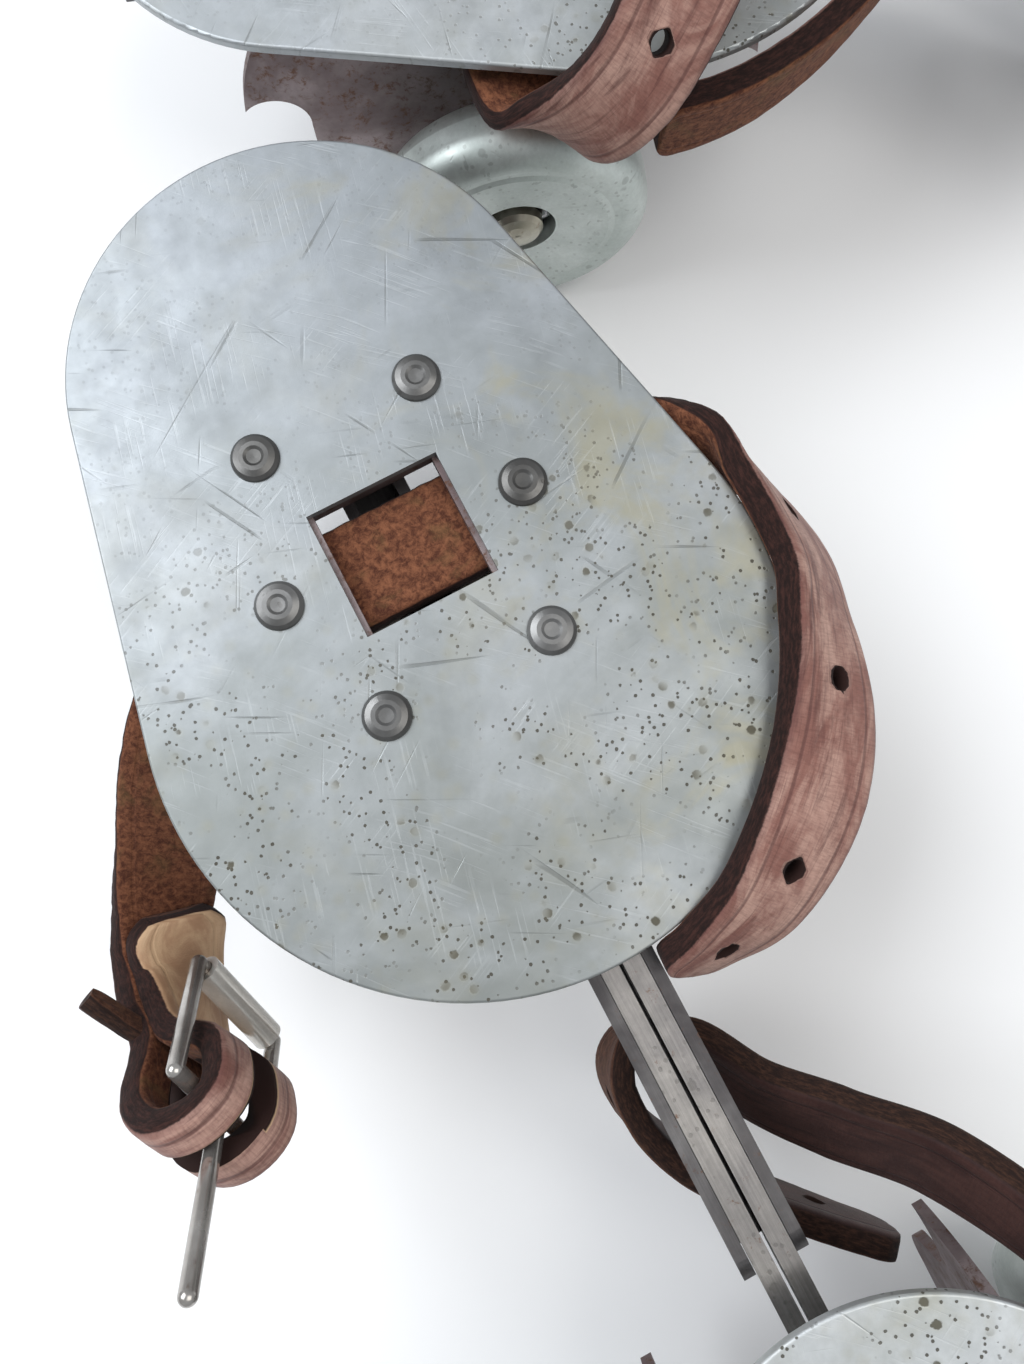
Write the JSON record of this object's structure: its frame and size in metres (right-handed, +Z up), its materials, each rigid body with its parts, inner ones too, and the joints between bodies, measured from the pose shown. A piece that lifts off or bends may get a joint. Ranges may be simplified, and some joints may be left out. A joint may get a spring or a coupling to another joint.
{
  "type": "quad roller skates",
  "caption": "Pair of strap-on quad roller skates: pressed steel sole and heel plates on an adjustable keel, steel wheels, leather straps with buckles.",
  "frame": {"origin": "the middle of the pair's footprint, on the floor", "axes": "+Z up, +Y towards the left skate's toe, +X to the left skate's right"},
  "size_m": [0.3466, 0.3758, 0.0983],
  "materials": {
    "galvanised_plate": "dull galvanised, scratched and pitted",
    "rivet_steel": "dull",
    "bracket_steel": "tarnished with rust freckles",
    "channel_steel": "dark tarnished",
    "bar_steel": "worn bright",
    "axle_steel": "satin",
    "nut_steel": "satin",
    "clamp_steel": "satin",
    "wheel_steel": "pale galvanised",
    "ball_steel": "polished",
    "cup_steel": "dull galvanised",
    "strap_leather": "old, creased",
    "buckle_nickel": "worn nickel",
    "roller_nickel": "worn nickel"
  },
  "bodies": {
    "left_skate_front": {"left_skate_front_plate": "galvanised_plate", "left_skate_front_rivets": "rivet_steel", "left_skate_front_bracket": "bracket_steel", "left_skate_keel_channel": "channel_steel", "left_skate_front_axle": "axle_steel", "left_skate_front_axle_nuts": "nut_steel", "left_skate_clamp_bolt": "clamp_steel", "left_skate_front_strap": "strap_leather"},
    "left_skate_heel": {"left_skate_heel_plate": "galvanised_plate", "left_skate_heel_rivets": "rivet_steel", "left_skate_heel_bracket": "bracket_steel", "left_skate_slider_bars": "bar_steel", "left_skate_heel_cup": "cup_steel", "left_skate_heel_axle": "axle_steel", "left_skate_heel_axle_nuts": "nut_steel", "left_skate_ankle_strap": "strap_leather"},
    "left_skate_wing_nut_turning": {"left_skate_wing_nut": "clamp_steel"},
    "left_skate_front_left_wheel_rolling": {"left_skate_front_left_wheel": "wheel_steel", "left_skate_front_left_balls": "ball_steel"},
    "left_skate_front_right_wheel_rolling": {"left_skate_front_right_wheel": "wheel_steel", "left_skate_front_right_balls": "ball_steel"},
    "left_skate_heel_left_wheel_rolling": {"left_skate_heel_left_wheel": "wheel_steel", "left_skate_heel_left_balls": "ball_steel"},
    "left_skate_heel_right_wheel_rolling": {"left_skate_heel_right_wheel": "wheel_steel", "left_skate_heel_right_balls": "ball_steel"},
    "left_skate_front_buckle_swinging": {"left_skate_front_buckle": "buckle_nickel"},
    "left_skate_front_roller_turning": {"left_skate_front_buckle_roller": "roller_nickel"},
    "left_skate_front_tongue_swinging": {"left_skate_front_buckle_tongue": "buckle_nickel"},
    "left_skate_ankle_buckle_swinging": {"left_skate_ankle_buckle": "buckle_nickel"},
    "left_skate_ankle_tongue_swinging": {"left_skate_ankle_buckle_tongue": "buckle_nickel"},
    "right_skate_front": {"right_skate_front_plate": "galvanised_plate", "right_skate_front_rivets": "rivet_steel", "right_skate_front_bracket": "bracket_steel", "right_skate_keel_channel": "channel_steel", "right_skate_front_axle": "axle_steel", "right_skate_front_axle_nuts": "nut_steel", "right_skate_clamp_bolt": "clamp_steel", "right_skate_front_strap": "strap_leather"},
    "right_skate_heel": {"right_skate_heel_plate": "galvanised_plate", "right_skate_heel_rivets": "rivet_steel", "right_skate_heel_bracket": "bracket_steel", "right_skate_slider_bars": "bar_steel", "right_skate_heel_cup": "cup_steel", "right_skate_heel_axle": "axle_steel", "right_skate_heel_axle_nuts": "nut_steel", "right_skate_ankle_strap": "strap_leather"},
    "right_skate_wing_nut_turning": {"right_skate_wing_nut": "clamp_steel"},
    "right_skate_front_left_wheel_rolling": {"right_skate_front_left_wheel": "wheel_steel", "right_skate_front_left_balls": "ball_steel"},
    "right_skate_front_right_wheel_rolling": {"right_skate_front_right_wheel": "wheel_steel", "right_skate_front_right_balls": "ball_steel"},
    "right_skate_heel_left_wheel_rolling": {"right_skate_heel_left_wheel": "wheel_steel", "right_skate_heel_left_balls": "ball_steel"},
    "right_skate_heel_right_wheel_rolling": {"right_skate_heel_right_wheel": "wheel_steel", "right_skate_heel_right_balls": "ball_steel"},
    "right_skate_front_buckle_swinging": {"right_skate_front_buckle": "buckle_nickel"},
    "right_skate_front_roller_turning": {"right_skate_front_buckle_roller": "roller_nickel"},
    "right_skate_front_tongue_swinging": {"right_skate_front_buckle_tongue": "buckle_nickel"},
    "right_skate_ankle_buckle_swinging": {"right_skate_ankle_buckle": "buckle_nickel"},
    "right_skate_ankle_tongue_swinging": {"right_skate_ankle_buckle_tongue": "buckle_nickel"}
  },
  "joints": [
    {"name": "left_skate_length", "type": "slide", "parent": "left_skate_front", "child": "left_skate_heel", "axis": [0, 1, 0], "range_m": [-0.02, 0.025]},
    {"name": "left_skate_wing_nut_turn", "type": "hinge", "parent": "left_skate_front", "child": "left_skate_wing_nut_turning", "pos_m": [-0.0938, -0.01559, 0.0496], "axis": [1, 0, 0], "continuous": true},
    {"name": "left_skate_front_left_wheel_roll", "type": "hinge", "parent": "left_skate_front", "child": "left_skate_front_left_wheel_rolling", "pos_m": [-0.1428, 0.03441, 0.0251], "axis": [1, 0, 0], "continuous": true},
    {"name": "left_skate_front_right_wheel_roll", "type": "hinge", "parent": "left_skate_front", "child": "left_skate_front_right_wheel_rolling", "pos_m": [-0.0608, 0.03441, 0.0251], "axis": [1, 0, 0], "continuous": true},
    {"name": "left_skate_heel_left_wheel_roll", "type": "hinge", "parent": "left_skate_heel", "child": "left_skate_heel_left_wheel_rolling", "pos_m": [-0.1428, -0.13559, 0.0251], "axis": [1, 0, 0], "continuous": true},
    {"name": "left_skate_heel_right_wheel_roll", "type": "hinge", "parent": "left_skate_heel", "child": "left_skate_heel_right_wheel_rolling", "pos_m": [-0.0608, -0.13559, 0.0251], "axis": [1, 0, 0], "continuous": true},
    {"name": "left_skate_front_buckle_swing", "type": "hinge", "parent": "left_skate_front", "child": "left_skate_front_buckle_swinging", "pos_m": [-0.1606, -0.02399, 0.0585], "axis": [0.0603, -0.8033, -0.5925], "range_deg": [-6, 75]},
    {"name": "left_skate_front_roller_turn", "type": "hinge", "parent": "left_skate_front_buckle_swinging", "child": "left_skate_front_roller_turning", "pos_m": [-0.15679, -0.01276, 0.04366], "axis": [0.0603, -0.8033, -0.5925], "continuous": true},
    {"name": "left_skate_front_tongue_swing", "type": "hinge", "parent": "left_skate_front", "child": "left_skate_front_tongue_swinging", "pos_m": [-0.1606, -0.02399, 0.0585], "axis": [0.0603, -0.8033, -0.5925], "range_deg": [-155, 10]},
    {"name": "left_skate_ankle_buckle_swing", "type": "hinge", "parent": "left_skate_heel", "child": "left_skate_ankle_buckle_swinging", "pos_m": [-0.1434, -0.09819, 0.0763], "axis": [0, 0, -1], "range_deg": [0, 75]},
    {"name": "left_skate_ankle_tongue_swing", "type": "hinge", "parent": "left_skate_heel", "child": "left_skate_ankle_tongue_swinging", "pos_m": [-0.1434, -0.09819, 0.0763], "axis": [0, 0, -1], "range_deg": [-140, 10]},
    {"name": "right_skate_lift", "type": "slide", "parent": "left_skate_front", "child": "right_skate_front", "axis": [0, 0, 1], "range_m": [0, 0.15]},
    {"name": "right_skate_length", "type": "slide", "parent": "right_skate_front", "child": "right_skate_heel", "axis": [-0.9373, 0.3486, 0], "range_m": [-0.02, 0.025]},
    {"name": "right_skate_wing_nut_turn", "type": "hinge", "parent": "right_skate_front", "child": "right_skate_wing_nut_turning", "pos_m": [0.01155, 0.12258, 0.0496], "axis": [0.3486, 0.9373, 0], "continuous": true},
    {"name": "right_skate_front_left_wheel_roll", "type": "hinge", "parent": "right_skate_front", "child": "right_skate_front_left_wheel_rolling", "pos_m": [-0.05239, 0.09408, 0.0251], "axis": [0.3486, 0.9373, 0], "continuous": true},
    {"name": "right_skate_front_right_wheel_roll", "type": "hinge", "parent": "right_skate_front", "child": "right_skate_front_right_wheel_rolling", "pos_m": [-0.02381, 0.17094, 0.0251], "axis": [0.3486, 0.9373, 0], "continuous": true},
    {"name": "right_skate_heel_left_wheel_roll", "type": "hinge", "parent": "right_skate_heel", "child": "right_skate_heel_left_wheel_rolling", "pos_m": [0.10695, 0.03483, 0.0251], "axis": [0.3486, 0.9373, 0], "continuous": true},
    {"name": "right_skate_heel_right_wheel_roll", "type": "hinge", "parent": "right_skate_heel", "child": "right_skate_heel_right_wheel_rolling", "pos_m": [0.13553, 0.11168, 0.0251], "axis": [0.3486, 0.9373, 0], "continuous": true},
    {"name": "right_skate_front_buckle_swing", "type": "hinge", "parent": "right_skate_front", "child": "right_skate_front_buckle_swinging", "pos_m": [0.03714, 0.16727, 0.0585], "axis": [0.732, -0.3365, -0.5925], "range_deg": [-75, 6]},
    {"name": "right_skate_front_roller_turn", "type": "hinge", "parent": "right_skate_front_buckle_swinging", "child": "right_skate_front_roller_turning", "pos_m": [0.02528, 0.16761, 0.04366], "axis": [0.732, -0.3365, -0.5925], "continuous": true},
    {"name": "right_skate_front_tongue_swing", "type": "hinge", "parent": "right_skate_front", "child": "right_skate_front_tongue_swinging", "pos_m": [0.03714, 0.16727, 0.0585], "axis": [0.732, -0.3365, -0.5925], "range_deg": [-10, 155]},
    {"name": "right_skate_ankle_buckle_swing", "type": "hinge", "parent": "right_skate_heel", "child": "right_skate_ankle_buckle_swinging", "pos_m": [0.10069, 0.12528, 0.0763], "axis": [0, 0, -1], "range_deg": [-75, 0]},
    {"name": "right_skate_ankle_tongue_swing", "type": "hinge", "parent": "right_skate_heel", "child": "right_skate_ankle_tongue_swinging", "pos_m": [0.10069, 0.12528, 0.0763], "axis": [0, 0, -1], "range_deg": [-10, 140]}
  ]
}
